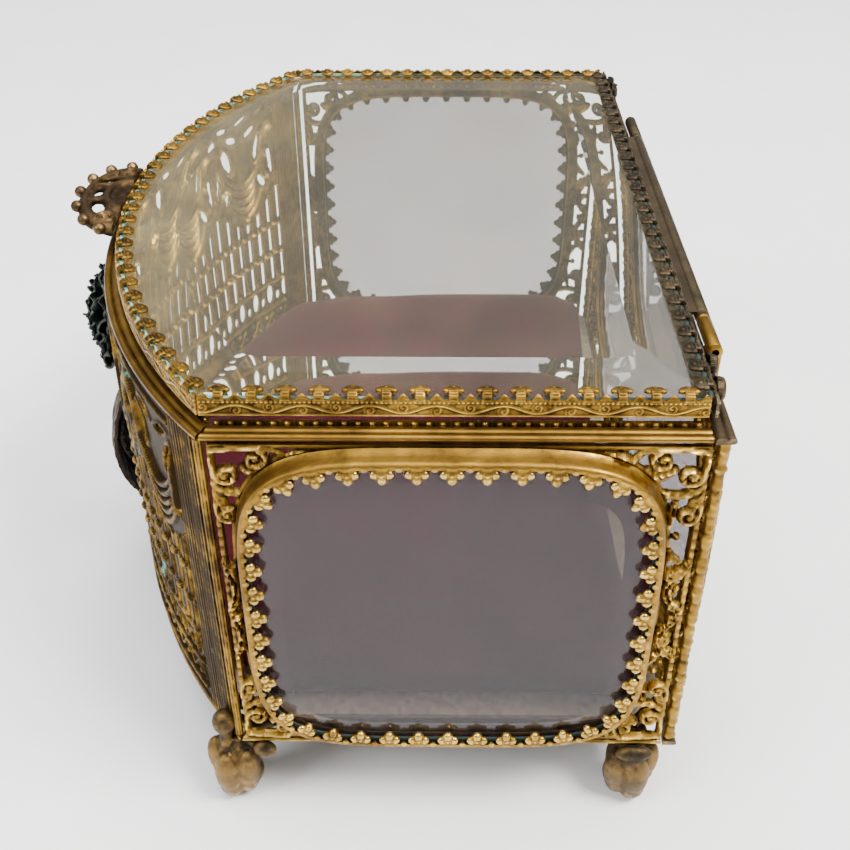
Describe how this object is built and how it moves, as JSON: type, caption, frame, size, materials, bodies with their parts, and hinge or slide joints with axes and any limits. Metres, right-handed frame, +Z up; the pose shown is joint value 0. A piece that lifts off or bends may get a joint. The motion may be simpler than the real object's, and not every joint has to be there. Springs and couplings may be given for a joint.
{
  "type": "vanity trinket box",
  "caption": "Bow-fronted gilt-metal trinket box with bevelled glass lid and windows, pierced scrollwork panels, paw feet, applied rose and padded velvet cushion.",
  "frame": {"origin": "centre of the whole object's bounding box, at the bottom of the feet", "axes": "+X along the width (the long way), -Y towards the bowed front with the rose and the lid pull, +Y towards the hinge, +Z up"},
  "size_m": [0.148, 0.1154, 0.0868],
  "materials": {
    "gilt_panels": "antique gilt, satin, dark patina in the hollows",
    "gilt_strip": "worn gilt, satin, brighter on the raised edges",
    "dark_bronze": "blackened green patina, matte",
    "bevelled_glass": "clear, polished, bevelled edges",
    "velvet": "deep burgundy velvet, padded",
    "backing_card": "plain matte board",
    "steel_pin": "dull drawn wire and screws"
  },
  "bodies": {
    "case": {"back_filigree": "gilt_panels", "base_plate": "gilt_panels", "base_rail_back": "gilt_panels", "base_rail_front": "gilt_panels", "base_rail_left": "gilt_panels", "base_rail_right": "gilt_panels", "beaded_lip_back": "gilt_panels", "beaded_lip_front": "gilt_panels", "beaded_lip_left": "gilt_panels", "beaded_lip_right": "gilt_panels", "corner_post_back_left": "gilt_panels", "corner_post_back_right": "gilt_panels", "corner_post_front_left": "gilt_panels", "corner_post_front_right": "gilt_panels", "cushion": "velvet", "cushion_board": "backing_card", "end_filigree_left": "gilt_panels", "end_filigree_right": "gilt_panels", "foot_back_left": "gilt_panels", "foot_back_right": "gilt_panels", "foot_front_left": "gilt_panels", "foot_front_right": "gilt_panels", "foot_screw_back_left": "steel_pin", "foot_screw_back_right": "steel_pin", "foot_screw_front_left": "steel_pin", "foot_screw_front_right": "steel_pin", "front_filigree": "gilt_panels", "hinge_knuckle_left": "gilt_strip", "hinge_knuckle_right": "gilt_strip", "hinge_pin": "steel_pin", "leaf_ornament": "dark_bronze", "rose_ornament": "dark_bronze", "top_ledge_back": "gilt_panels", "top_ledge_front": "gilt_panels", "top_ledge_left": "gilt_panels", "top_ledge_right": "gilt_panels", "window_bezel_back": "gilt_strip", "window_bezel_left": "gilt_strip", "window_bezel_right": "gilt_strip", "window_glass_back": "bevelled_glass", "window_glass_left": "bevelled_glass", "window_glass_right": "bevelled_glass"},
    "lid": {"hinge_barrel": "gilt_strip", "lid_gallery_back": "gilt_strip", "lid_gallery_front": "gilt_strip", "lid_gallery_left": "gilt_strip", "lid_gallery_right": "gilt_strip", "lid_glass": "bevelled_glass", "lid_pull": "gilt_strip", "lid_scroll_left": "gilt_strip", "lid_scroll_right": "gilt_strip"}
  },
  "joints": [
    {"name": "lid_hinge", "type": "hinge", "parent": "case", "child": "lid", "pos_m": [0.004, 0.0546, 0.0826], "axis": [-1, 0, 0], "range_deg": [0, 100]}
  ]
}
